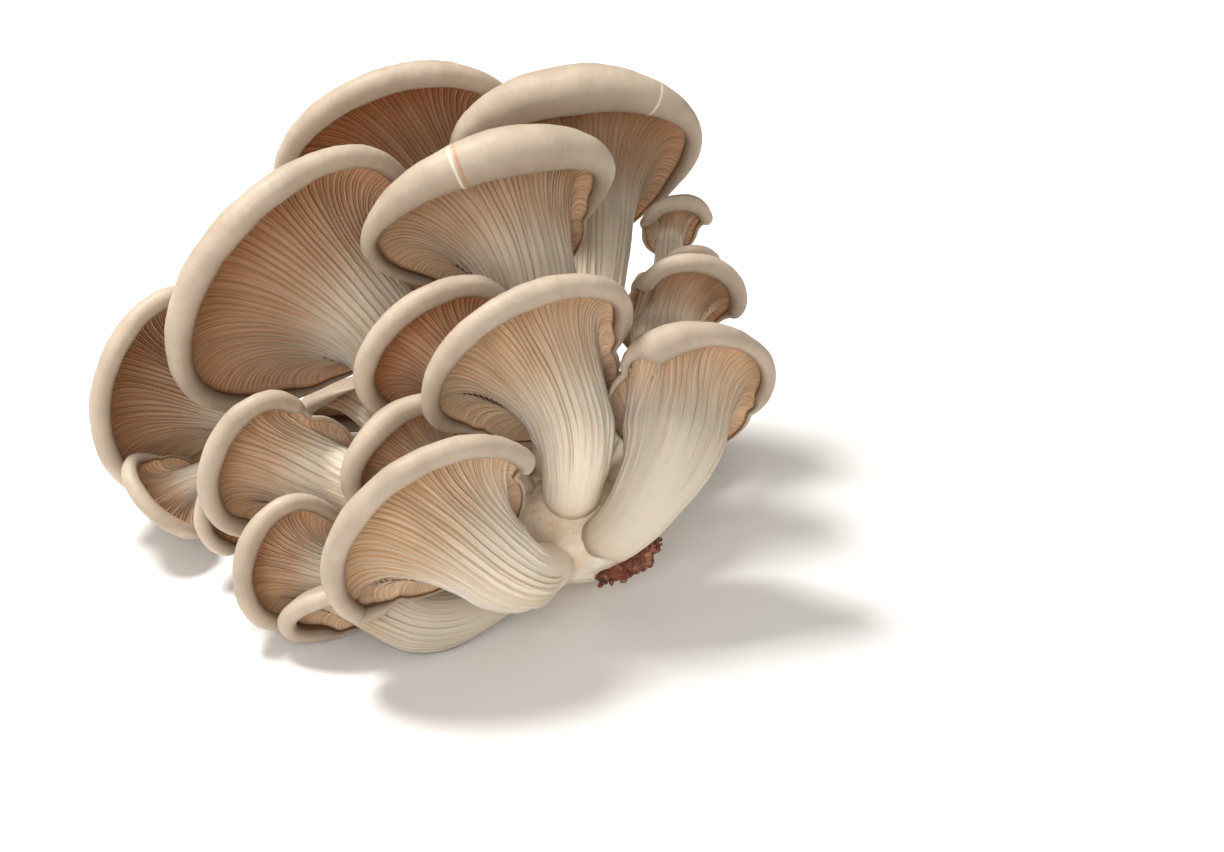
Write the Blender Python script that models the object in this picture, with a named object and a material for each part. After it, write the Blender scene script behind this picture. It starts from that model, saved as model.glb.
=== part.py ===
"""Oyster mushroom cluster: fan-shaped caps on short stems that share one base clump.

The cluster is drawn face on, in millimetres: x to the right, y up, z towards the front.
It is then leaned back by LEAN_BACK and set on the floor, in metres with +Z up.
Every mushroom is one closed skin of rings: foot, stem, gill side, rolled rim, cap top.
"""
import math

import bpy
import numpy as np

LEAN_BACK = 30.0
FLOOR_DROP = 25.0
CENTRE = (-38.4, 47.5)
GAP = 0.5
BASE_CENTRE = np.array([-4.0, 3.5, -24.0])
BASE_RADII = np.array([24.0, 15.0, 22.0])


def unit(v):
    v = np.asarray(v, float)
    return v / np.linalg.norm(v, axis=-1, keepdims=True)


def on_base(turn, rise, gap=GAP):
    """Point just off the base clump, by its angle in the face plane and towards the front."""
    a, e = math.radians(turn), math.radians(rise)
    d = np.array([math.cos(e) * math.cos(a), math.cos(e) * math.sin(a), math.sin(e)])
    return BASE_CENTRE + (BASE_RADII + gap) * d


def mushroom(name, cap, size, face, neck, foot, stem, **shape):
    """One mushroom.  cap, neck: points.  size: half length and half width of the cap.

    face: direction and lean of the cap's top.  foot: place on the base clump.
    stem: radius at the foot and at the neck.
    """
    m = dict(fan=face[0], roll=(2.4, 2.4), thick_at=0.0, pinch=(0.4, 0.4), near=1.0,
             bend=0.5, flesh=5, sprout=0.35, start=None, tip=0.0, detail=14)
    m.update(name=name, cap=np.array(cap, float), size=size, face=face, stem=stem)
    m.update(neck=np.array(neck, float), foot=on_base(*foot))
    m.update(shape)
    return m


MUSHROOMS = [
    mushroom("cap_back_left", (-44.5, 94, -66), (35, 35), (107, 54), (-30, 78, -82),
             (115, 0), (4, 8), roll=(3.6, 2.4), pinch=(0.5, 0.2), near=1.1, detail=20),
    mushroom("cap_back_right", (-1, 95, -54), (28, 34), (96, 53), (3, 77, -66),
             (85, -15), (5, 9), roll=(6.4, 2.2), pinch=(0.3, 0.3), thick_at=-5, detail=20),
    mushroom("cap_big_left", (-67, 63, -34), (36.5, 42), (132, 55), (-48, 49, -52),
             (140, 3), (5, 11), fan=142, roll=(4, 2.6), pinch=(0.4, 0.12), detail=20),
    mushroom("cap_middle", (-20, 78, -17), (27, 35), (107, 60), (-12, 62, -31),
             (95, 20), (5, 10.5), roll=(6, 2), pinch=(0.7, 0.2), thick_at=12, detail=20),
    mushroom("cap_far_left", (-98, 37, -46), (27, 30), (150, 42), (-84, 31, -66),
             (163, -30), (4, 7), fan=165, roll=(2.8, 2.4), pinch=(0.75, 0.1), detail=18),
    mushroom("cap_far_left_low", (-102, 12, -38), (12, 14), (225, 60), (-95, 15, -47),
             (200, -40), (3, 3.5), roll=(2.2, 1.8), pinch=(0.2, 0.2), near=0.8, flesh=3),
    mushroom("cap_left", (-73, 18, -10), (20, 21), (142, 42), (-60, 14, -20),
             (180, 8), (4, 8.5), fan=158, roll=(2.8, 2.3), pinch=(0.75, 0.4), near=0.8,
             detail=16),
    mushroom("cap_left_low", (-81, 7.5, -26), (14, 14.5), (140, 35), (-74, 4.5, -33),
             (205, 0), (3, 4), fan=160, roll=(2.2, 2.2)),
    mushroom("cap_front_left", (-67, -5.5, -4), (17, 18), (155, 38), (-58.5, -8.5, -12),
             (205, 18), (3, 5.5), fan=165, roll=(2.6, 2.2), pinch=(0.3, 0.3)),
    mushroom("cap_front", (-31, 1, 19), (29, 31), (122, 50), (-19, -4.5, 12),
             (-100, 48), (6, 10.5), fan=132, roll=(3.2, 2.5), pinch=(0.3, 0.1), near=0.3,
             bend=0.5, detail=20),
    mushroom("cap_front_low", (-54, -16.8, 0.2), (18, 11), (108, 60), (-39.3, -18.7, -2),
             (-114, 22), (5, 7.2), fan=188, roll=(2.3, 2), pinch=(0.3, 0.3), flesh=4,
             bend=0.4, detail=16),
    mushroom("cap_centre", (-9.5, 42, 11), (25, 29), (120, 52), (-1.5, 27.5, 1),
             (80, 60), (7, 9.5), fan=115, roll=(3.2, 2.3), pinch=(0.6, 0), near=0.7,
             detail=20),
    mushroom("cap_centre_left", (-33, 45, -9), (21, 23), (127, 50), (-25, 36, -18),
             (125, 40), (3.5, 7), roll=(3, 2.4), near=1.1, pinch=(0.4, 0.2), detail=16),
    mushroom("cap_centre_low", (-40.5, 20, -1), (16, 18), (132, 50), (-33.5, 15, -9),
             (165, 35), (3, 5), roll=(3, 2.4), pinch=(0.4, 0.2), detail=16),
    mushroom("cap_right", (28, 36, 4), (18, 21), (115, 42), (22.5, 25, -3),
             (-30, 60), (6.5, 12), fan=80, roll=(4.2, 2), thick_at=-60, pinch=(0.3, 0.5),
             near=0.7, sprout=0.6, detail=20),
    mushroom("cap_right_high", (26.5, 57, -29), (14.5, 15.5), (110, 38), (20, 49.5, -39),
             (52, 16), (4, 7.5), fan=75, roll=(2.6, 2), pinch=(0.3, 0.5), flesh=4),
    mushroom("cap_right_bud", (28, 66.5, -51), (7.5, 8), (100, 38), (30, 62.5, -58),
             (33, -25), (2, 2.5), fan=75, roll=(1.8, 1.6), flesh=3),
    mushroom("cap_right_top", (24.5, 78, -55), (9, 9.5), (110, 38), (22.5, 74, -64),
             (70, -38), (2.2, 3), fan=80, roll=(2.2, 1.8), pinch=(0.3, 0.3), flesh=3),
    mushroom("cap_rear_left", (-55, 32.5, -82), (13.5, 24), (100, 66), (-49, 29.5, -73),
             (130, -45), (4.5, 7), fan=280, near=1.05, detail=16),
    mushroom("cap_rear_right", (15, 31.5, -76), (22, 25), (85, 80), (11, 26, -68),
             (75, -60), (4.5, 6.5), fan=265, near=0.8, detail=16),
]


def cap_axes(m):
    """Normal of the cap's top, the direction the fan opens, and the sideways direction."""
    a, lean, fan = (math.radians(v) for v in (m["face"][0], m["face"][1], m["fan"]))
    n = np.array([math.sin(lean) * math.cos(a), math.sin(lean) * math.sin(a), -math.cos(lean)])
    o = np.array([math.cos(fan), math.sin(fan), 0.0])
    u = unit(o - (o @ n) * n)
    return n, u, np.cross(n, u)


def rim_line(m, phi):
    """Outer line of the cap: an ellipse, drawn in towards the stem."""
    n, u, v = cap_axes(m)
    c, s = np.cos(phi), np.sin(phi)
    pinch = np.where(s > 0, m["pinch"][0], m["pinch"][1]) * ((1 - c) / 2) ** 2
    along = m["size"][0] * c * np.where(c < 0, m["near"], 1.0)
    across = m["size"][1] * s * (1 - pinch)
    lift = -m["tip"] * np.cos(phi + math.radians(110))
    return m["cap"] + along[:, None] * u + across[:, None] * v + lift[:, None] * n


def rim_radius(m, phi):
    """Radius of the rolled rim: thick at the far edge, thin by the stem."""
    far, side = m["roll"]
    c = np.clip(np.cos(phi - math.radians(m["thick_at"])), 0, 1) ** 1.5
    return (side + (far - side) * c) * (1 - 0.45 * np.clip(-np.cos(phi), 0, 1))


def bezier(p0, p1, p2, p3, t):
    s = 1 - t
    return s ** 3 * p0 + 3 * s * s * t * p1 + 3 * s * t * t * p2 + t ** 3 * p3


def press_to_base(ring):
    q = (ring - BASE_CENTRE) / (BASE_RADII + GAP)
    return BASE_CENTRE + (BASE_RADII + GAP) * unit(q)


def clear_of_base(ring):
    """Points that would be inside the base clump come out to its surface."""
    q = (ring - BASE_CENTRE) / (BASE_RADII + GAP)
    depth = np.linalg.norm(q, axis=1)[:, None]
    return BASE_CENTRE + (BASE_RADII + GAP) * q / np.minimum(depth, 1)


def behind_neck(m, line, radius, neck_ring, phi):
    """Near the stem the rim is thin, outside the neck and a little behind it."""
    n, u, v = cap_axes(m)
    outward = np.cos(phi)[:, None] * u + np.sin(phi)[:, None] * v
    beyond = ((line - neck_ring) * outward).sum(1)
    close = 1 / (1 + np.exp(beyond - 3 * radius[:, 0]))
    radius = radius * (1 - 0.7 * close[:, None])
    room = 2 * radius[:, 0] + 0.3
    push = soft_excess(room - beyond)
    line = line + push[:, None] * outward
    lift = soft_excess(room - (line - neck_ring) @ n) * close
    return line + lift[:, None] * n, radius


def soft_excess(x):
    """Zero for clearly negative values, x for clearly positive ones, smooth in between."""
    return np.log1p(np.exp(np.clip(3 * x, -60, 60))) / 3


def stem_rings(m, phi, steps):
    """Rings from the foot to the neck, and the direction of the stem at the neck."""
    n, u, v = cap_axes(m)
    foot, neck = m["foot"], m["neck"]
    straight = unit(neck - foot)
    end = unit(straight * (1 - m["bend"]) + n * m["bend"])
    out = unit(foot - BASE_CENTRE if m["start"] is None else m["start"])
    begin = unit(out * m["sprout"] + straight * (1 - m["sprout"]))
    reach = np.linalg.norm(neck - foot) / 3
    c1, c2 = foot + begin * reach, neck - end * reach
    e1, rings = u, []
    for t in np.linspace(1, 0, steps + 1):
        centre = bezier(foot, c1, c2, neck, t)
        s = 1 - t
        along = unit(s * s * (c1 - foot) + 2 * s * t * (c2 - c1) + t * t * (neck - c2))
        e1 = unit(e1 - (e1 @ along) * along)
        e2 = np.cross(along, e1)
        radius = m["stem"][0] + (m["stem"][1] - m["stem"][0]) * t ** 1.5
        turn = np.cos(phi)[:, None] * e1 + np.sin(phi)[:, None] * e2
        rings.insert(0, clear_of_base(centre + radius * turn))
    rings[0] = press_to_base(rings[0])
    rings.insert(0, press_to_base(0.5 * rings[0] + 0.5 * foot))
    return rings, end


def cap_rings(m, phi, neck_ring, end, flare, roll, top):
    """Rings of the gill side, round the rolled rim and over the cap top, and the pole."""
    n, u, v = cap_axes(m)
    radius = rim_radius(m, phi)[:, None]
    line, radius = behind_neck(m, rim_line(m, phi), radius, neck_ring, phi)
    tangent = unit(np.roll(line, -1, 0) - np.roll(line, 1, 0))
    out = unit(np.cross(tangent, n))
    up = unit(np.cross(out, tangent))
    up *= np.sign(up @ n)[:, None]
    w = math.radians(40)
    out, up = out * math.cos(w) - up * math.sin(w), up * math.cos(w) + out * math.sin(w)
    middle = line - radius * out

    def rim(angle):
        a = math.radians(angle)
        return middle + radius * (math.cos(a) * out + math.sin(a) * up)

    crease = rim(-200)
    crown = rim(90)
    length = np.linalg.norm(crease - neck_ring, axis=1)[:, None]

    def gill(t):
        c1 = neck_ring + end * 0.3 * length
        c2 = crease - out * 0.4 * length
        return bezier(neck_ring, c1, c2, crease, t)

    def skin(t):
        g = gill(t)
        low = (crease - g) @ n
        lift = (1 - t ** 4) * m["flesh"] + 0.45 * low * (1 - t)
        return g + (crown - crease) * t * t + lift[:, None] * n

    rings = [gill(t) for t in np.linspace(0, 1, flare + 1)[1:]]
    rings += [rim(a) for a in np.linspace(-200, 90, roll + 2)[1:]]
    rings += [skin(t) for t in np.linspace(1, 0, top + 2)[1:-1]]
    return rings, skin(0.0).mean(0)


def mushroom_rings(m, count, stem=3, flare=4, roll=3, top=3):
    phi = np.linspace(0, 2 * np.pi, count, endpoint=False)
    rings, end = stem_rings(m, phi, stem)
    more, pole = cap_rings(m, phi, rings[-1], end, flare, roll, top)
    return np.array(rings + more), m["foot"], pole


def closed_skin(rings, first, last):
    """Points and triangles of a tube of rings, closed by a point at each end."""
    count = rings.shape[1]
    points = np.vstack([rings.reshape(-1, 3), [first], [last]])
    start, end = len(points) - 2, len(points) - 1
    i = np.arange(count)
    j = (i + 1) % count
    faces = [np.stack([j, i, np.full(count, start)], 1)]
    for k in range(len(rings) - 1):
        a, b, c, d = i + k * count, j + k * count, j + (k + 1) * count, i + (k + 1) * count
        faces += [np.stack([a, b, c], 1), np.stack([a, c, d], 1)]
    k = (len(rings) - 1) * count
    faces.append(np.stack([i + k, j + k, np.full(count, end)], 1))
    return points, np.vstack(faces)


def stand_up(points):
    """Lean the face-on drawing back and put it on the floor, in metres."""
    x, y, z = np.asarray(points, float).T
    s, c = math.sin(math.radians(LEAN_BACK)), math.cos(math.radians(LEAN_BACK))
    world = np.stack([x - CENTRE[0], y * s - z * c - CENTRE[1], y * c + z * s + FLOOR_DROP], 1)
    return world / 1000


def clump_skin(centre, radii, lumps, turns=24, steps=12):
    """A lumpy ball; the lumps only go inwards, so that nothing else is touched."""
    rings = []
    for b in np.linspace(0, math.pi, steps + 1)[1:-1]:
        a = np.linspace(0, 2 * np.pi, turns, endpoint=False)
        d = np.stack([np.sin(b) * np.cos(a), np.full(turns, -np.cos(b)), -np.sin(b) * np.sin(a)], 1)
        dent = sum(depth * (1 + np.sin(d @ np.array(wave))) / 2 for depth, wave in lumps)
        rings.append(centre + radii * d * (1 - dent)[:, None])
    low, high = centre - radii * [0, 1, 0], centre + radii * [0, 1, 0]
    return closed_skin(np.array(rings), low, high)


def crust_skin(turn, rise, wide, tall, thick):
    """A thin ragged patch that follows the base clump; its size is given in degrees."""
    phi = np.linspace(0, 2 * np.pi, 18, endpoint=False)
    ragged = 1 + 0.14 * np.sin(3 * phi) + 0.1 * np.sin(5 * phi + 1)

    def ring(size, gap):
        across = turn + wide * size * ragged * np.cos(phi)
        up = rise + tall * size * ragged * np.sin(phi)
        return np.array([on_base(a, b, gap) for a, b in zip(across, up)])

    rings = [ring(0.5, 0.2), ring(0.95, 0.2), ring(1.0, 0.5 * thick), ring(0.6, thick)]
    return closed_skin(np.array(rings), on_base(turn, rise, 0.2), on_base(turn, rise, thick))


# ---- objects ----

def material(name, colour, roughness):
    mat = bpy.data.materials.new(name)
    mat.use_nodes = True
    shader = mat.node_tree.nodes["Principled BSDF"]
    shader.inputs["Base Color"].default_value = (*colour, 1.0)
    shader.inputs["Roughness"].default_value = roughness
    return mat


def add_object(name, points, faces, mat):
    mesh = bpy.data.meshes.new(name)
    mesh.from_pydata(points.tolist(), [], faces.tolist())
    mesh.materials.append(mat)
    mesh.shade_smooth()
    obj = bpy.data.objects.new(name, mesh)
    bpy.context.scene.collection.objects.link(obj)
    return obj


def main():
    for obj in list(bpy.data.objects):
        bpy.data.objects.remove(obj)
    for m in MUSHROOMS:
        points, faces = closed_skin(*mushroom_rings(m, m["detail"]))
        flesh = material(m["name"] + "_flesh", (0.62, 0.52, 0.42), 0.6)
        add_object(m["name"], stand_up(points), faces, flesh)
    lumps = [(0.1, (5.0, 3.0, 4.0)), (0.06, (-7.0, 6.0, 5.0))]
    points, faces = clump_skin(BASE_CENTRE, BASE_RADII - 0.5, lumps)
    points = stand_up(points)
    points[points[:, 2] < 0.0025, 2] = 0.0
    add_object("base_clump", points, faces, material("base_flesh", (0.72, 0.66, 0.56), 0.8))
    points, faces = crust_skin(-40, 22, 26, 11, 2.4)
    bark = material("bark", (0.22, 0.09, 0.05), 0.9)
    add_object("growing_crust", stand_up(points), faces, bark)


main()
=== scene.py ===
"""Oyster mushroom cluster: the detailed surfaces, materials, light and camera.

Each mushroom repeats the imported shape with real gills, ribs and an uneven rolled rim.
Lengths are in millimetres until the points are stood up, and in metres after that.
"""
import math

import bpy
import numpy as np
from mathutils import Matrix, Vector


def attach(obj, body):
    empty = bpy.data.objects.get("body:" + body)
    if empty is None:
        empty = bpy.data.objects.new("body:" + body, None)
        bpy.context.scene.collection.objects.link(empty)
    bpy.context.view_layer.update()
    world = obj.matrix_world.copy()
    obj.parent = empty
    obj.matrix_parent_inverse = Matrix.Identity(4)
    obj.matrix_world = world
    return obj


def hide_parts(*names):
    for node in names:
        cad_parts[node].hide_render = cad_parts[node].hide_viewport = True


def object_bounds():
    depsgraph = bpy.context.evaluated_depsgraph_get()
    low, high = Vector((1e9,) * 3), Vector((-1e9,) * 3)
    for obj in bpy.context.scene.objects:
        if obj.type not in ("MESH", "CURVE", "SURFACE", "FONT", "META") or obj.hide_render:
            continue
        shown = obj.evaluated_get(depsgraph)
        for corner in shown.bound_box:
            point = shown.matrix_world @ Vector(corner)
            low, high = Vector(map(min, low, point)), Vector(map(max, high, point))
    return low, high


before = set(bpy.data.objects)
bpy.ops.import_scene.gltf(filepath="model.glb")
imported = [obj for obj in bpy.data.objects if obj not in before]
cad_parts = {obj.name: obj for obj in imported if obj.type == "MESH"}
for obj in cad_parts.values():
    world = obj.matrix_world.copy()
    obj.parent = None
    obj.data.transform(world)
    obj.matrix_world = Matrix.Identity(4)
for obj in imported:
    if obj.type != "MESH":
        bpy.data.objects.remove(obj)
cad_box = [list(corner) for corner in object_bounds()]

LEAN_BACK = 30.0
FLOOR_DROP = 25.0
CENTRE = (-38.4, 47.5)
SINK = -1.5
BASE_CENTRE = np.array([-4.0, 3.5, -24.0])
BASE_RADII = np.array([24.0, 15.0, 22.0])
DEEPEST_GILL = 1.35
STEM_RIB = 0.10
CRUST_TURN, CRUST_RISE = -40, 22
CRUMBS = 90

FINE = dict(blades=150, stem=12, flare=22, roll=13, top=7)
MEDIUM = dict(blades=104, stem=11, flare=18, roll=11, top=6)
SMALL = dict(blades=64, stem=9, flare=14, roll=9, top=5)

CREAM = (0.84, 0.735, 0.59)
TAN = (0.60, 0.365, 0.18)
BROWN = (0.50, 0.165, 0.042)
# Painted shade: the dark line in the crease where the gills meet the rolled rim.
CREASE_SHADE = (0.12, 0.06, 0.03)
RUST = (0.50, 0.24, 0.12)
GREY_BEIGE = (0.475, 0.38, 0.29)
GREY_BROWN = (0.25, 0.185, 0.125)


# ---- shape of one mushroom ----

def unit(v):
    v = np.asarray(v, float)
    return v / np.linalg.norm(v, axis=-1, keepdims=True)


def smooth_step(low, high, x):
    t = np.clip((x - low) / (high - low), 0, 1)
    return t * t * (3 - 2 * t)


def on_base(turn, rise, gap=SINK):
    """Point on the base clump, by its angle in the face plane and towards the front."""
    a, e = math.radians(turn), math.radians(rise)
    d = np.array([math.cos(e) * math.cos(a), math.cos(e) * math.sin(a), math.sin(e)])
    return BASE_CENTRE + (BASE_RADII + gap) * d


def mushroom(name, cap, size, face, neck, foot, stem, **shape):
    """One mushroom.  cap, neck: points.  size: half length and half width of the cap.

    face: direction and lean of the cap's top.  foot: place on the base clump.
    stem: radius at the foot and at the neck.  warm: how much painted shade browns the gills.
    pale: brightness of the stem, as painted shade.  marks: scars on the rim (angle, half width,
    colour).
    """
    m = dict(fan=face[0], roll=(2.4, 2.4), thick_at=0.0, pinch=(0.4, 0.4), near=1.0,
             bend=0.5, flesh=5, sprout=0.35, tip=0.0, detail=MEDIUM, warm=0.4,
             wavy=0.6, marks=(), pale=1.0)
    m.update(name=name, cap=np.array(cap, float), size=size, face=face, stem=stem)
    m.update(neck=np.array(neck, float), foot=on_base(*foot))
    m.update(shape)
    return m


MUSHROOMS = [
    mushroom("cap_back_left", (-44.5, 94, -66), (35, 35), (107, 54), (-30, 78, -82),
             (115, 0), (4, 8), roll=(3.6, 2.4), pinch=(0.5, 0.2), near=1.1, detail=FINE,
             warm=1.0),
    mushroom("cap_back_right", (-1, 95, -54), (28, 34), (96, 53), (3, 77, -66),
             (85, -15), (5, 9), roll=(6.4, 2.2), pinch=(0.3, 0.3), thick_at=-5, detail=FINE,
             warm=0.5, marks=((42, 0.4, CREAM),)),
    mushroom("cap_big_left", (-67, 63, -34), (36.5, 42), (132, 55), (-48, 49, -52),
             (140, 3), (5, 11), fan=142, roll=(4, 2.6), pinch=(0.4, 0.12), detail=FINE,
             warm=0.6),
    mushroom("cap_middle", (-20, 78, -17), (27, 35), (107, 60), (-12, 62, -31),
             (95, 20), (5, 10.5), roll=(6, 2), pinch=(0.7, 0.2), thick_at=12, detail=FINE,
             warm=0.3, marks=((-10, 0.6, CREAM), (-7.5, 0.4, RUST))),
    mushroom("cap_far_left", (-98, 37, -46), (27, 30), (150, 42), (-84, 31, -66),
             (163, -30), (4, 7), fan=165, roll=(2.8, 2.4), pinch=(0.75, 0.1), detail=FINE,
             warm=0.5),
    mushroom("cap_far_left_low", (-102, 12, -38), (12, 14), (225, 60), (-95, 15, -47),
             (200, -40), (3, 3.5), roll=(2.2, 1.8), pinch=(0.2, 0.2), near=0.8, flesh=3,
             detail=SMALL),
    mushroom("cap_left", (-73, 18, -10), (20, 21), (142, 42), (-60, 14, -20),
             (180, 8), (4, 8.5), fan=158, roll=(2.8, 2.3), pinch=(0.75, 0.4), near=0.8,
             warm=0.3),
    mushroom("cap_left_low", (-81, 7.5, -26), (14, 14.5), (140, 35), (-74, 4.5, -33),
             (205, 0), (3, 4), fan=160, roll=(2.2, 2.2), detail=SMALL, warm=0.8),
    mushroom("cap_front_left", (-67, -5.5, -4), (17, 18), (155, 38), (-58.5, -8.5, -12),
             (205, 18), (3, 5.5), fan=165, roll=(2.6, 2.2), pinch=(0.3, 0.3), warm=0.5),
    mushroom("cap_front", (-31, 1, 19), (29, 31), (122, 50), (-19, -4.5, 12),
             (-100, 48), (6, 10.5), fan=132, roll=(3.2, 2.5), pinch=(0.3, 0.1), near=0.3,
             detail=FINE, warm=0.1),
    mushroom("cap_front_low", (-54, -16.8, 0.2), (18, 11), (108, 60), (-39.3, -18.7, -2),
             (-114, 22), (5, 7.2), fan=188, roll=(2.3, 2), pinch=(0.3, 0.3), flesh=4,
             bend=0.4, warm=0.1, pale=0.75),
    mushroom("cap_centre", (-9.5, 42, 11), (25, 29), (120, 52), (-1.5, 27.5, 1),
             (80, 60), (7, 9.5), fan=115, roll=(3.2, 2.3), pinch=(0.6, 0), near=0.7,
             detail=FINE, warm=0.15),
    mushroom("cap_centre_left", (-33, 45, -9), (21, 23), (127, 50), (-25, 36, -18),
             (125, 40), (3.5, 7), roll=(3, 2.4), near=1.1, pinch=(0.4, 0.2), warm=1.0),
    mushroom("cap_centre_low", (-40.5, 20, -1), (16, 18), (132, 50), (-33.5, 15, -9),
             (165, 35), (3, 5), roll=(3, 2.4), pinch=(0.4, 0.2), warm=0.8),
    mushroom("cap_right", (28, 36, 4), (18, 21), (115, 42), (22.5, 25, -3),
             (-30, 60), (6.5, 12), fan=80, roll=(4.2, 2), thick_at=-60, pinch=(0.3, 0.5),
             near=0.7, sprout=0.6, warm=0.1, pale=0.8),
    mushroom("cap_right_high", (26.5, 57, -29), (14.5, 15.5), (110, 38), (20, 49.5, -39),
             (52, 16), (4, 7.5), fan=75, roll=(2.6, 2), pinch=(0.3, 0.5), flesh=4),
    mushroom("cap_right_bud", (28, 66.5, -51), (7.5, 8), (100, 38), (30, 62.5, -58),
             (33, -25), (2, 2.5), fan=75, roll=(1.8, 1.6), flesh=3, detail=SMALL),
    mushroom("cap_right_top", (24.5, 78, -55), (9, 9.5), (110, 38), (22.5, 74, -64),
             (70, -38), (2.2, 3), fan=80, roll=(2.2, 1.8), pinch=(0.3, 0.3), flesh=3,
             detail=SMALL),
    mushroom("cap_rear_left", (-55, 32.5, -82), (13.5, 24), (100, 66), (-49, 29.5, -73),
             (130, -45), (4.5, 7), fan=280, near=1.05, detail=SMALL),
    mushroom("cap_rear_right", (15, 31.5, -76), (22, 25), (85, 80), (11, 26, -68),
             (75, -60), (4.5, 6.5), fan=265, near=0.8, detail=SMALL),
]


def cap_axes(m):
    """Normal of the cap's top, the direction the fan opens, and the sideways direction."""
    a, lean, fan = (math.radians(v) for v in (m["face"][0], m["face"][1], m["fan"]))
    n = np.array([math.sin(lean) * math.cos(a), math.sin(lean) * math.sin(a), -math.cos(lean)])
    o = np.array([math.cos(fan), math.sin(fan), 0.0])
    u = unit(o - (o @ n) * n)
    return n, u, np.cross(n, u)


def angle_noise(phi, seed, low=2, high=9):
    """Smooth uneven values round a circle, about -1 to 1."""
    rng = np.random.default_rng(seed)
    total = np.zeros_like(phi)
    for k in range(low, high + 1):
        total += rng.normal() * np.cos(k * phi + rng.uniform(0, 6.28)) / k ** 0.7
    return total * 0.7


def space_noise(points, scale, seed, octaves=3):
    """Smooth uneven values in space, about -1 to 1; scale is the size of a lump."""
    rng = np.random.default_rng(seed)
    total = np.zeros(points.shape[:-1])
    for octave in range(octaves):
        for _ in range(5):
            d = unit(rng.normal(size=3)) * 2 * math.pi / scale * 2 ** octave
            total += np.sin(points @ d + rng.uniform(0, 6.28)) / 2 ** octave
    return total * 0.25


def rim_line(m, phi):
    """Outer line of the cap: an uneven ellipse, drawn in towards the stem."""
    n, u, v = cap_axes(m)
    c, s = np.cos(phi), np.sin(phi)
    pinch = np.where(s > 0, m["pinch"][0], m["pinch"][1]) * ((1 - c) / 2) ** 2
    along = m["size"][0] * c * np.where(c < 0, m["near"], 1.0)
    across = m["size"][1] * s * (1 - pinch)
    lift = -m["tip"] * np.cos(phi + math.radians(110))
    free = m["wavy"] * (0.55 + 0.45 * c)
    spread = 1 + 0.008 * free * angle_noise(phi, len(m["name"]) * 7 + 1, 3, 6)
    lift = lift + 0.5 * free * angle_noise(phi, len(m["name"]) * 5 + 3, 2, 5)
    flat = (along * spread)[:, None] * u + (across * spread)[:, None] * v
    return m["cap"] + flat + lift[:, None] * n


def rim_radius(m, phi):
    """Radius of the rolled rim: thick at the far edge, thin by the stem."""
    far, side = m["roll"]
    c = np.clip(np.cos(phi - math.radians(m["thick_at"])), 0, 1) ** 1.5
    uneven = 1 + 0.05 * m["wavy"] * angle_noise(phi, len(m["name"]) + 40, 3, 8)
    return (side + (far - side) * c) * (1 - 0.45 * np.clip(-np.cos(phi), 0, 1)) * uneven


def bezier(p0, p1, p2, p3, t):
    s = 1 - t
    return s ** 3 * p0 + 3 * s * s * t * p1 + 3 * s * t * t * p2 + t ** 3 * p3


def press_to_base(ring):
    q = (ring - BASE_CENTRE) / (BASE_RADII + SINK)
    return BASE_CENTRE + (BASE_RADII + SINK) * unit(q)


def clear_of_base(ring):
    """Points that would be deep in the base clump come out to just under its surface."""
    q = (ring - BASE_CENTRE) / (BASE_RADII + SINK)
    depth = np.linalg.norm(q, axis=1)[:, None]
    return BASE_CENTRE + (BASE_RADII + SINK) * q / np.minimum(depth, 1)


def soft_excess(x):
    """Zero for clearly negative values, x for clearly positive ones, smooth in between."""
    return np.log1p(np.exp(np.clip(3 * x, -60, 60))) / 3


def behind_neck(m, line, radius, neck_ring, phi):
    """Near the stem the rim is thin, outside the neck and a little behind it."""
    n, u, v = cap_axes(m)
    outward = np.cos(phi)[:, None] * u + np.sin(phi)[:, None] * v
    beyond = ((line - neck_ring) * outward).sum(1)
    close = 1 / (1 + np.exp(beyond - 3 * radius[:, 0]))
    radius = radius * (1 - 0.7 * close[:, None])
    room = 2 * radius[:, 0] + 0.3
    push = soft_excess(room - beyond)
    line = line + push[:, None] * outward
    lift = soft_excess(room - (line - neck_ring) @ n) * close
    return line + lift[:, None] * n, radius


def stem_rings(m, phi, steps):
    """Rings from the foot to the neck, and the direction of the stem at the neck."""
    n, u, v = cap_axes(m)
    foot, neck = m["foot"], m["neck"]
    straight = unit(neck - foot)
    end = unit(straight * (1 - m["bend"]) + n * m["bend"])
    begin = unit(unit(foot - BASE_CENTRE) * m["sprout"] + straight * (1 - m["sprout"]))
    reach = np.linalg.norm(neck - foot) / 3
    c1, c2 = foot + begin * reach, neck - end * reach
    e1, rings = u, []
    for t in np.linspace(1, 0, steps + 1):
        centre = bezier(foot, c1, c2, neck, t)
        s = 1 - t
        along = unit(s * s * (c1 - foot) + 2 * s * t * (c2 - c1) + t * t * (neck - c2))
        e1 = unit(e1 - (e1 @ along) * along)
        e2 = np.cross(along, e1)
        radius = m["stem"][0] + (m["stem"][1] - m["stem"][0]) * t ** 1.5
        turn = np.cos(phi)[:, None] * e1 + np.sin(phi)[:, None] * e2
        rings.insert(0, clear_of_base(centre + radius * turn))
    rings[0] = press_to_base(rings[0])
    rings.insert(0, press_to_base(0.5 * rings[0] + 0.5 * foot))
    return rings, end


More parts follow.
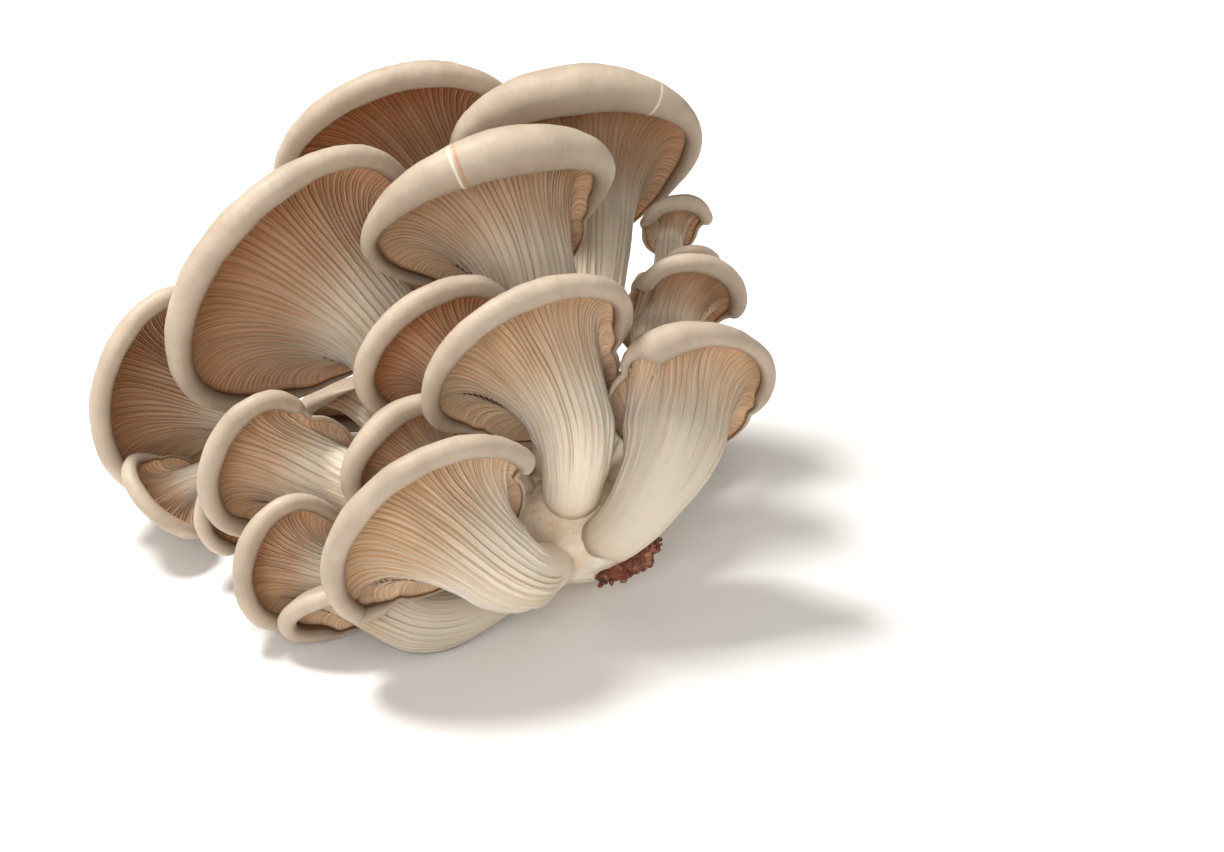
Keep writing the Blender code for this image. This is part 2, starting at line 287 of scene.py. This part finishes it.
def cap_rings(m, phi, neck_ring, end, flare, roll, top):
    """Rings of the gill side, round the rolled rim and over the cap top, and the pole."""
    n, u, v = cap_axes(m)
    radius = rim_radius(m, phi)[:, None]
    line, radius = behind_neck(m, rim_line(m, phi), radius, neck_ring, phi)
    tangent = unit(np.roll(line, -1, 0) - np.roll(line, 1, 0))
    out = unit(np.cross(tangent, n))
    up = unit(np.cross(out, tangent))
    up *= np.sign(up @ n)[:, None]
    w = math.radians(40)
    out, up = out * math.cos(w) - up * math.sin(w), up * math.cos(w) + out * math.sin(w)
    middle = line - radius * out

    def rim(angle):
        a = math.radians(angle)
        return middle + radius * (math.cos(a) * out + math.sin(a) * up)

    crease = rim(-200)
    crown = rim(90)
    length = np.linalg.norm(crease - neck_ring, axis=1)[:, None]

    def gill(t):
        c1 = neck_ring + end * 0.3 * length
        c2 = crease - out * 0.4 * length
        return bezier(neck_ring, c1, c2, crease, t)

    def skin(t):
        g = gill(t)
        low = (crease - g) @ n
        lift = (1 - t ** 4) * m["flesh"] + 0.45 * low * (1 - t)
        return g + (crown - crease) * t * t + lift[:, None] * n

    rings = [gill(t) for t in np.linspace(0, 1, flare + 1)[1:]]
    rings += [rim(a) for a in np.linspace(-200, 90, roll + 2)[1:]]
    rings += [skin(t) for t in np.linspace(1, 0, top + 2)[1:-1]]
    return rings, skin(0.0).mean(0)


def ring_places(stem, flare, roll, top):
    """Place of each ring on the profile: stem 0 to 1, gills to 2, rim to 3, top to 4."""
    places = [-0.02, *np.linspace(0, 1, stem + 1)]
    places += list(1 + np.linspace(0, 1, flare + 1)[1:])
    places += list(2 + np.linspace(0, 1, roll + 2)[1:])
    places += list(3 + np.linspace(0, 1, top + 2)[1:-1])
    return np.array(places)


# ---- gills, ribs and lumps ----

def blade_set(count, seed):
    """Angle, first place on the profile and height of each gill blade."""
    rng = np.random.default_rng(seed)
    index = np.arange(count)
    angle = (index + rng.uniform(-0.16, 0.16, count)) * 2 * np.pi / count
    start = np.where(index % 4 == 0, 0.45, np.where(index % 4 == 2, 1.12, 1.42))
    start = start + rng.uniform(-0.12, 0.16, count) * np.where(index % 4 == 0, 2.0, 1.0)
    height = np.where(index % 4 == 0, 1.0, np.where(index % 4 == 2, 0.85, 0.65))
    return angle, start, height * rng.uniform(0.85, 1.15, count)


def blade_columns(count, seed):
    """Four columns of points for each blade: flank, crest, flank and the valley after it."""
    angle, start, height = blade_set(count, seed)
    gap = 2 * np.pi / count
    phi = angle[:, None] + gap * np.array([-0.2, 0.0, 0.2, 0.5])
    following = np.append(angle[1:], angle[0] + 2 * np.pi)
    phi[:, 3] = 0.5 * (angle + following)
    crest = np.tile([0.3, 1.0, 0.3, -0.45], count)
    return phi.ravel(), crest, np.repeat(start, 4), np.repeat(height, 4)


def outward_normals(grid):
    around = np.roll(grid, -1, 1) - np.roll(grid, 1, 1)
    along = np.gradient(grid, axis=0)
    n = np.cross(around, along)
    return n / np.maximum(np.linalg.norm(n, axis=-1, keepdims=True), 1e-9), around


def gill_lengths(grid, d):
    """Length of the gill side at each column, as a share of a long one."""
    neck, crease = grid[d["stem"] + 1], grid[d["stem"] + d["flare"] + 1]
    span = np.linalg.norm(crease - neck, axis=-1)
    return np.clip(span / np.percentile(span, 80), 0, 1)


def surface_lift(grid, phi, crest, blade, place, depth, seed):
    """How far each point moves out of the smooth shape: gill blades, stem ribs and lumps."""
    lift = depth * crest * blade
    rib = STEM_RIB * angle_noise(phi, seed + 5, 9, 30) * smooth_step(-0.1, 0.3, place)
    lift += rib * (1 - smooth_step(0.8, 1.5, place))
    lift += 0.18 * space_noise(grid, 14, seed + 9, 2) * (1 - blade)
    lift += 0.05 * space_noise(grid, 3, seed + 10, 2) * smooth_step(2.1, 2.4, place)
    lift *= smooth_step(4.0, 3.6, place) * 0.999 + 0.001
    return lift


def blade_sway(phi, place, ended, span, seed):
    """Sideways wander of the gill blades, so that they don't run dead straight."""
    sway = 0.35 * np.sin(3 * phi + 5 * place + seed) + 0.2 * np.sin(11 * phi - 9 * place)
    return sway * smooth_step(1.0, 1.4, place) * ended * smooth_step(0.35, 0.9, span)


def colour_places(place, span):
    """Place on the colour profile: short gills stay paler, with less painted shade, except right
    at the crease.
    """
    on_gills = (place > 1) * (place < 2)
    tone = np.where(on_gills, 1 + (place - 1) * (0.3 + 0.7 * span), place)
    return np.where(on_gills, np.maximum(tone, 2 - (2 - place) * 12), tone)


def detailed_mushroom(m):
    """Points, faces and point values of one mushroom with its gills and ribs."""
    d = m["detail"]
    seed = sum(ord(letter) for letter in m["name"])
    phi, crest, start, height = blade_columns(d["blades"], seed)
    rings, end = stem_rings(m, phi, d["stem"])
    more, pole = cap_rings(m, phi, rings[-1], end, d["flare"], d["roll"], d["top"])
    grid = np.array(rings + more)
    place = ring_places(d["stem"], d["flare"], d["roll"], d["top"])[:, None]
    normal, around = outward_normals(grid)

    scale = 0.5 * (m["size"][0] + m["size"][1])
    span = gill_lengths(grid, d)
    depth = min(0.3 + 0.032 * scale, DEEPEST_GILL) * smooth_step(0.35, 1.0, span)
    ended = 1 - smooth_step(1.90, 1.995, place)
    blade = height * smooth_step(start, start + 0.45, place) * ended
    lift = surface_lift(grid, phi, crest, blade, place, depth, seed)
    sway = blade_sway(phi, place, ended, span, seed)
    step = around / np.maximum(np.linalg.norm(around, axis=-1, keepdims=True), 1e-9)
    grid = grid + lift[..., None] * normal + sway[..., None] * step

    valley = np.clip(0.5 - 0.5 * crest, 0, 1) * np.clip(blade, 0, 1)
    flow = np.stack(np.broadcast_arrays(scale * np.cos(phi), scale * np.sin(phi),
                                        place * scale), -1)
    points, faces = closed_skin(grid, m["foot"], pole)
    values = dict(
        profile=with_ends(colour_places(place, span), -0.02, 4.0),
        valley=with_ends(valley, 0.0, 0.0),
        flow=with_ends(flow, (0, 0, 0), (0, 0, 4 * scale)),
    )
    return points, faces, values


def with_ends(values, first, last):
    flat = values.reshape(-1, *values.shape[2:])
    return np.concatenate([flat, [first], [last]])


def closed_skin(rings, first, last):
    """Points and faces of a tube of rings, closed by a point at each end."""
    count = rings.shape[1]
    points = np.vstack([rings.reshape(-1, 3), [first], [last]])
    start, end = len(points) - 2, len(points) - 1
    i = np.arange(count)
    j = (i + 1) % count
    faces = [np.stack([j, i, np.full(count, start)], 1)]
    for k in range(len(rings) - 1):
        a, b, c, d = i + k * count, j + k * count, j + (k + 1) * count, i + (k + 1) * count
        faces += [np.stack([a, b, c], 1), np.stack([a, c, d], 1)]
    k = (len(rings) - 1) * count
    faces.append(np.stack([i + k, j + k, np.full(count, end)], 1))
    return points, np.vstack(faces)


def stand_up(points):
    """Lean the face-on drawing back and put it on the floor, in metres."""
    x, y, z = np.asarray(points, float).T
    s, c = math.sin(math.radians(LEAN_BACK)), math.cos(math.radians(LEAN_BACK))
    world = np.stack([x - CENTRE[0], y * s - z * c - CENTRE[1], y * c + z * s + FLOOR_DROP], 1)
    return world / 1000


# ---- base clump and crust ----

def ball_ring(a, b):
    """One ring of directions round a ball, at the angle b from its lowest point."""
    return np.stack([np.sin(b) * np.cos(a), np.full(len(a), -np.cos(b)),
                     -np.sin(b) * np.sin(a)], 1)


def clump():
    """The lumpy, crumbly mass that all the stems grow from."""
    turns, steps, mean = 150, 75, 0.955
    a = np.linspace(0, 2 * np.pi, turns, endpoint=False)
    rings = []
    for b in np.linspace(0, math.pi, steps + 1)[1:-1]:
        d = ball_ring(a, b)
        radius = mean + 0.03 * space_noise(d * 20, 14, 3, 2)
        radius = radius + 0.012 * space_noise(d * 20, 2.6, 5, 3)
        rings.append(BASE_CENTRE + BASE_RADII * d * radius[:, None])
    low, high = (BASE_CENTRE + BASE_RADII * [0, y, 0] for y in (-mean, mean))
    points, faces = closed_skin(np.array(rings), low, high)
    points = stand_up(points)
    points[points[:, 2] < 0.0008, 2] = 0.0
    return points, faces


def crumb(centre, radius, rng):
    """One small angular lump of growing medium."""
    stretch = rng.uniform(0.6, 1.3, 3)
    rings = []
    for b in np.linspace(0, math.pi, 6)[1:-1]:
        a = np.linspace(0, 2 * np.pi, 9, endpoint=False) + rng.uniform(0, 0.3)
        rings.append(centre + ball_ring(a, b) * stretch * radius * rng.uniform(0.75, 1.15, (9, 1)))
    low, high = (centre + stretch * radius * [0, y, 0] for y in (-0.9, 0.9))
    return closed_skin(np.array(rings), low, high)


def crust():
    """Ragged red-brown patch with crumbs on it, along the lower right of the base clump."""
    phi = np.linspace(0, 2 * np.pi, 120, endpoint=False)
    ragged = 1 + 0.14 * np.sin(3 * phi) + 0.1 * np.sin(5 * phi + 1)
    ragged += 0.07 * angle_noise(phi, 12, 8, 30)
    rings = []
    for size, gap in [(0.5, -2.0), (0.9, -1.6), (1.0, 0.3), (0.9, 1.3), (0.7, 1.8), (0.4, 2.0)]:
        across = CRUST_TURN + 26 * size * ragged * np.cos(phi)
        rise = CRUST_RISE + 11 * size * ragged * np.sin(phi)
        ring = np.array([on_base(a, b, gap) for a, b in zip(across, rise)])
        rings.append(ring + 0.35 * space_noise(ring, 2.5, 8)[:, None] * unit(ring - BASE_CENTRE))
    low, high = (on_base(CRUST_TURN, CRUST_RISE, gap) for gap in (-2.0, 2.0))
    points, faces = closed_skin(np.array(rings), low, high)
    rng = np.random.default_rng(21)
    for _ in range(CRUMBS):
        turn, rise = rng.normal(CRUST_TURN, 12), rng.normal(CRUST_RISE, 6)
        grain, grain_faces = crumb(on_base(turn, rise, rng.uniform(0.8, 2.2)),
                                   rng.uniform(0.4, 1.1), rng)
        faces = np.vstack([faces, grain_faces + len(points)])
        points = np.vstack([points, grain])
    return stand_up(points), faces


# ---- materials ----

class Nodes:
    """Short calls that add nodes to one material."""

    def __init__(self, name):
        self.mat = bpy.data.materials.new(name)
        self.mat.use_nodes = True
        self.tree = self.mat.node_tree
        self.shader = self.tree.nodes["Principled BSDF"]

    def add(self, kind, **inputs):
        node = self.tree.nodes.new(kind)
        for key, value in inputs.items():
            self.set(node.inputs[key.replace("_", " ")], value)
        return node

    def set(self, socket, value):
        if isinstance(value, bpy.types.NodeSocket):
            self.tree.links.new(value, socket)
        else:
            socket.default_value = value

    def value(self, name):
        node = self.tree.nodes.new("ShaderNodeAttribute")
        node.attribute_name = name
        return node

    def math(self, operation, a, b=0.0):
        node = self.tree.nodes.new("ShaderNodeMath")
        node.operation = operation
        self.set(node.inputs[0], a)
        self.set(node.inputs[1], b)
        return node.outputs[0]

    def ramp(self, factor, stops):
        node = self.tree.nodes.new("ShaderNodeValToRGB")
        ramp = node.color_ramp
        ramp.interpolation = "EASE"
        while len(ramp.elements) < len(stops):
            ramp.elements.new(0.5)
        for element, (position, colour) in zip(ramp.elements, stops):
            element.position = position
            element.color = (*colour, 1.0)
        self.set(node.inputs[0], factor)
        return node.outputs[0]

    def mix(self, factor, a, b, blend="MIX"):
        node = self.tree.nodes.new("ShaderNodeMix")
        node.data_type = "RGBA"
        node.blend_type = blend
        self.set(node.inputs["Factor"], factor)
        for socket, value in ((node.inputs[6], a), (node.inputs[7], b)):
            self.set(socket, (*value, 1.0) if isinstance(value, tuple) else value)
        return node.outputs[2]

    def noise(self, vector, scale, detail=4.0, rough=0.55):
        node = self.add("ShaderNodeTexNoise", Scale=scale, Detail=detail, Roughness=rough)
        self.set(node.inputs["Vector"], vector)
        return node.outputs["Fac"]

    def stretch(self, vector, scale):
        node = self.add("ShaderNodeMapping", Scale=scale)
        self.set(node.inputs["Vector"], vector)
        return node.outputs[0]

    def spread(self, factor, low, high, to_low=0.0, to_high=1.0):
        node = self.tree.nodes.new("ShaderNodeMapRange")
        for socket, value in zip(node.inputs, (factor, low, high, to_low, to_high)):
            self.set(socket, value)
        return node.outputs[0]

    def parts(self, vector):
        node = self.tree.nodes.new("ShaderNodeSeparateXYZ")
        self.set(node.inputs[0], vector)
        return node.outputs

    def bump(self, height, strength, distance, normal=None):
        node = self.add("ShaderNodeBump", Strength=strength, Distance=distance)
        self.set(node.inputs["Height"], height)
        if normal is not None:
            self.set(node.inputs["Normal"], normal)
        return node.outputs[0]


def mixed(a, b, share):
    return tuple(x + (y - x) * share for x, y in zip(a, b))


def flesh_material(m):
    """Cap, gills and stem of one mushroom: one profile of colour with streaks and specks, and
    painted shade and highlight.
    """
    n = Nodes(m["name"] + "_skin")
    warm = m["warm"]
    profile = n.value("profile").outputs["Fac"]
    valley = n.value("valley").outputs["Fac"]
    flow = n.value("flow").outputs["Vector"]
    place = n.tree.nodes.new("ShaderNodeTexCoord").outputs["Object"]

    streak = n.noise(n.stretch(flow, (1.6, 1.6, 0.05)), 1.0, 3.0, 0.6)
    fibre = n.noise(n.stretch(flow, (5.0, 5.0, 0.12)), 1.0, 3.0, 0.6)
    cloud = n.noise(place, 60.0, 4.0, 0.55)
    speck = n.noise(place, 900.0, 3.0, 0.6)

    # Painted shade: the stem colour is darkened on some mushrooms by their own factor.
    shaded_cream = tuple(m["pale"] * channel for channel in CREAM)
    # Painted shade: the gills grow browner and darker from the stem towards the rim, more on some
    # mushrooms than others by a per-mushroom amount; the tan gill colour is their own.
    gill_mid = mixed(mixed(CREAM, TAN, 0.5), BROWN, 0.4 * warm)
    gill_far = mixed(mixed(CREAM, TAN, 0.75), BROWN, 0.7 * warm)
    base = n.ramp(n.math("MULTIPLY", profile, 0.25), [
        (0.0, mixed(shaded_cream, TAN, 0.2)), (0.06, shaded_cream), (0.28, shaded_cream),
        (0.37, gill_mid), (0.46, gill_far), (0.49, mixed(gill_far, CREASE_SHADE, 0.35)),
        # Painted shade: dark in the crease, then grey-brown on the underside of the rolled rim.
        (0.50, CREASE_SHADE), (0.55, CREASE_SHADE), (0.57, GREY_BROWN), (0.625, GREY_BEIGE),
        # Painted highlight: the top of the rolled rim is lighter than the cap top beyond it.
        (0.69, mixed(GREY_BEIGE, CREAM, 0.25)), (0.80, GREY_BEIGE),
        (1.0, mixed(GREY_BEIGE, GREY_BROWN, 0.7))])
    # Painted shade: the valleys between the gill blades take a darker brown, more so away from the
    # stem.
    deep = mixed(mixed(TAN, BROWN, 0.45), BROWN, warm)
    valley = n.math("MULTIPLY", valley, n.spread(profile, 1.0, 1.45, 0.3, 0.78 + 0.2 * warm))
    base = n.mix(valley, base, deep)
    on_cap = n.spread(profile, 2.05, 2.3)
    mottled = n.mix(n.spread(cloud, 0.38, 0.72, 0.0, 0.5), base, GREY_BROWN)
    base = n.mix(on_cap, base, mottled)
    on_gill = n.math("MULTIPLY", n.spread(profile, 0.5, 1.2), n.spread(profile, 2.05, 1.95))
    lined = n.spread(streak, 0.3, 0.7, 0.82, 1.1)
    fine = n.spread(fibre, 0.3, 0.7, 0.9, 1.06)
    lines_seen = n.spread(on_gill, 0.0, 1.0, 0.22, 1.0)
    base = n.mix(lines_seen, base, n.math("MULTIPLY", lined, fine), "MULTIPLY")
    for turn, width, colour in m["marks"]:
        base = n.mix(scar(n, flow, profile, streak, turn, width), base, colour)
    spots = n.spread(speck, 0.66, 0.74, 0.0, 0.25)
    base = n.mix(spots, base, mixed(BROWN, GREY_BROWN, 0.5))
    n.set(n.shader.inputs["Base Color"], base)

    n.set(n.shader.inputs["Roughness"], n.spread(cloud, 0.3, 0.7, 0.42, 0.62))
    n.shader.inputs["Specular IOR Level"].default_value = 0.35
    n.shader.inputs["Subsurface Weight"].default_value = 0.25
    n.shader.inputs["Subsurface Radius"].default_value = (1.0, 0.6, 0.35)
    n.shader.inputs["Subsurface Scale"].default_value = 0.0022
    rough_skin = n.bump(speck, 0.25, 0.0003)
    lines = n.bump(fibre, n.spread(on_gill, 0.0, 1.0, 0.08, 0.4), 0.0006, rough_skin)
    n.set(n.shader.inputs["Normal"], lines)
    return n.mat


def scar(n, flow, profile, streak, turn, width):
    """How much of a thin crack shows: one uneven line across the rim at the angle turn."""
    x, y, _ = n.parts(flow)
    a = math.radians(turn)
    aside = n.math("SUBTRACT", n.math("MULTIPLY", y, math.cos(a)),
                   n.math("MULTIPLY", x, math.sin(a)))
    ahead = n.math("ADD", n.math("MULTIPLY", x, math.cos(a)), n.math("MULTIPLY", y, math.sin(a)))
    wander = n.math("MULTIPLY", n.math("SUBTRACT", streak, 0.5), 2.5 * width)
    away = n.math("ABSOLUTE", n.math("ADD", aside, wander))
    line = n.math("MULTIPLY", n.spread(away, 0.35 * width, width, 1.0, 0.0),
                  n.spread(ahead, 0.0, 1.0))
    across = n.math("MULTIPLY", n.spread(profile, 1.8, 2.2), n.spread(profile, 3.1, 2.8))
    return n.math("MULTIPLY", n.math("MULTIPLY", line, across), 0.8)


def clump_material():
    n = Nodes("base_clump_skin")
    place = n.tree.nodes.new("ShaderNodeTexCoord").outputs["Object"]
    cloud = n.noise(place, 110.0, 5.0, 0.6)
    grain = n.noise(place, 700.0, 4.0, 0.65)
    base = n.ramp(cloud, [(0.3, mixed(CREAM, TAN, 0.55)), (0.5, mixed(CREAM, TAN, 0.2)),
                          (0.7, (0.86, 0.81, 0.72))])
    base = n.mix(n.spread(grain, 0.62, 0.75, 0.0, 0.5), base, mixed(TAN, BROWN, 0.5))
    n.set(n.shader.inputs["Base Color"], base)
    n.shader.inputs["Roughness"].default_value = 0.85
    n.shader.inputs["Subsurface Weight"].default_value = 0.15
    n.shader.inputs["Subsurface Scale"].default_value = 0.002
    n.set(n.shader.inputs["Normal"], n.bump(grain, 0.6, 0.0008))
    return n.mat


def crust_material():
    n = Nodes("growing_crust_skin")
    place = n.tree.nodes.new("ShaderNodeTexCoord").outputs["Object"]
    cloud = n.noise(place, 260.0, 5.0, 0.65)
    base = n.ramp(cloud, [(0.32, (0.055, 0.018, 0.010)), (0.5, (0.20, 0.06, 0.03)),
                          (0.66, (0.40, 0.20, 0.11)), (0.8, (0.62, 0.50, 0.38))])
    n.set(n.shader.inputs["Base Color"], base)
    n.shader.inputs["Roughness"].default_value = 0.8
    n.set(n.shader.inputs["Normal"], n.bump(cloud, 0.7, 0.001))
    return n.mat


# ---- objects ----

def add_object(name, points, faces, mat, values=None):
    mesh = bpy.data.meshes.new(name)
    mesh.from_pydata(points.tolist(), [], faces.tolist())
    for key, numbers in (values or {}).items():
        vector = numbers.ndim == 2
        layer = mesh.attributes.new(key, "FLOAT_VECTOR" if vector else "FLOAT", "POINT")
        layer.data.foreach_set("vector" if vector else "value", numbers.astype(np.float32).ravel())
    mesh.materials.append(mat)
    mesh.shade_smooth()
    obj = bpy.data.objects.new(name, mesh)
    bpy.context.scene.collection.objects.link(obj)
    return obj


def fit_in_box(shapes, low, high):
    """Scale all the shapes together, very slightly, so that they keep inside the box."""
    every = np.vstack([shape[1] for shape in shapes])
    first, last = every.min(0), every.max(0)
    share = min(1.0, ((high - low) / (last - first)).min()) * 0.9995
    middle = 0.5 * (first + last)
    target = 0.5 * (low + high)
    middle[2], target[2] = first[2], low[2]
    return [(shape[0], (shape[1] - middle) * share + target, *shape[2:]) for shape in shapes]


def build_cluster():
    shapes = []
    for m in MUSHROOMS:
        points, faces, values = detailed_mushroom(m)
        shapes.append((m["name"], stand_up(points), faces, flesh_material(m), values, "flesh"))
    points, faces = clump()
    shapes.append(("base_clump", points, faces, clump_material(), None, "base_flesh"))
    points, faces = crust()
    shapes.append(("growing_crust", points, faces, crust_material(), None, "bark"))
    low, high = (np.array(corner) for corner in cad_box)
    for name, points, faces, mat, values, slot in fit_in_box(shapes, low, high):
        piece = add_object(name + "_detail", points, faces, mat, values)
        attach(piece, "root")
        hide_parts(name)


# ---- floor, light and camera ----

LIGHT_TARGET = (0.0, 0.0, 0.05)
CAMERA_PLACE = (0.0460, -0.8128, 0.4995)
CAMERA_TILT = 60.0

def add_floor():
    n = Nodes("floor_white")
    n.shader.inputs["Base Color"].default_value = (1.0, 1.0, 1.0, 1.0)
    n.shader.inputs["Roughness"].default_value = 0.7
    points = np.array([[-3, -3, 0], [3, -3, 0], [3, 4, 0], [-3, 4, 0]], float)
    floor = add_object("floor", points, np.array([[0, 1, 2, 3]]), n.mat)


def add_light(name, place, size, power, colour=(1, 1, 1)):
    """A round lamp at place, aimed at the middle of the cluster."""
    lamp = bpy.data.lights.new(name, "AREA")
    lamp.shape = "DISK"
    lamp.size = size
    lamp.energy = power
    lamp.color = colour
    obj = bpy.data.objects.new(name, lamp)
    obj.location = place
    aim = np.array(LIGHT_TARGET) - np.array(place)
    yaw, drop = math.atan2(aim[1], aim[0]), math.atan2(math.hypot(aim[0], aim[1]), -aim[2])
    obj.rotation_euler = (drop, 0.0, yaw - math.pi / 2)
    bpy.context.scene.collection.objects.link(obj)


def add_world(strength):
    world = bpy.data.worlds.new("studio")
    world.use_nodes = True
    background = world.node_tree.nodes["Background"]
    background.inputs[0].default_value = (1.0, 0.95, 0.88, 1.0)
    background.inputs[1].default_value = strength
    bpy.context.scene.world = world


def add_camera():
    camera = bpy.data.cameras.new("camera")
    camera.lens = 111.2
    camera.sensor_width = 36.0
    camera.clip_start, camera.clip_end = 0.01, 20.0
    obj = bpy.data.objects.new("camera", camera)
    obj.location = CAMERA_PLACE
    obj.rotation_euler = (math.radians(CAMERA_TILT), 0.0, 0.0)
    bpy.context.scene.collection.objects.link(obj)
    bpy.context.scene.camera = obj


build_cluster()
add_floor()
add_world(strength=0.40)
add_light("key", (-0.34, 0.16, 0.85), size=0.3, power=9.5, colour=(1.0, 0.98, 0.955))
add_light("fill", (-0.1, -0.9, 0.45), size=0.6, power=4.0)
add_camera()
bpy.context.scene.view_settings.view_transform = "Standard"
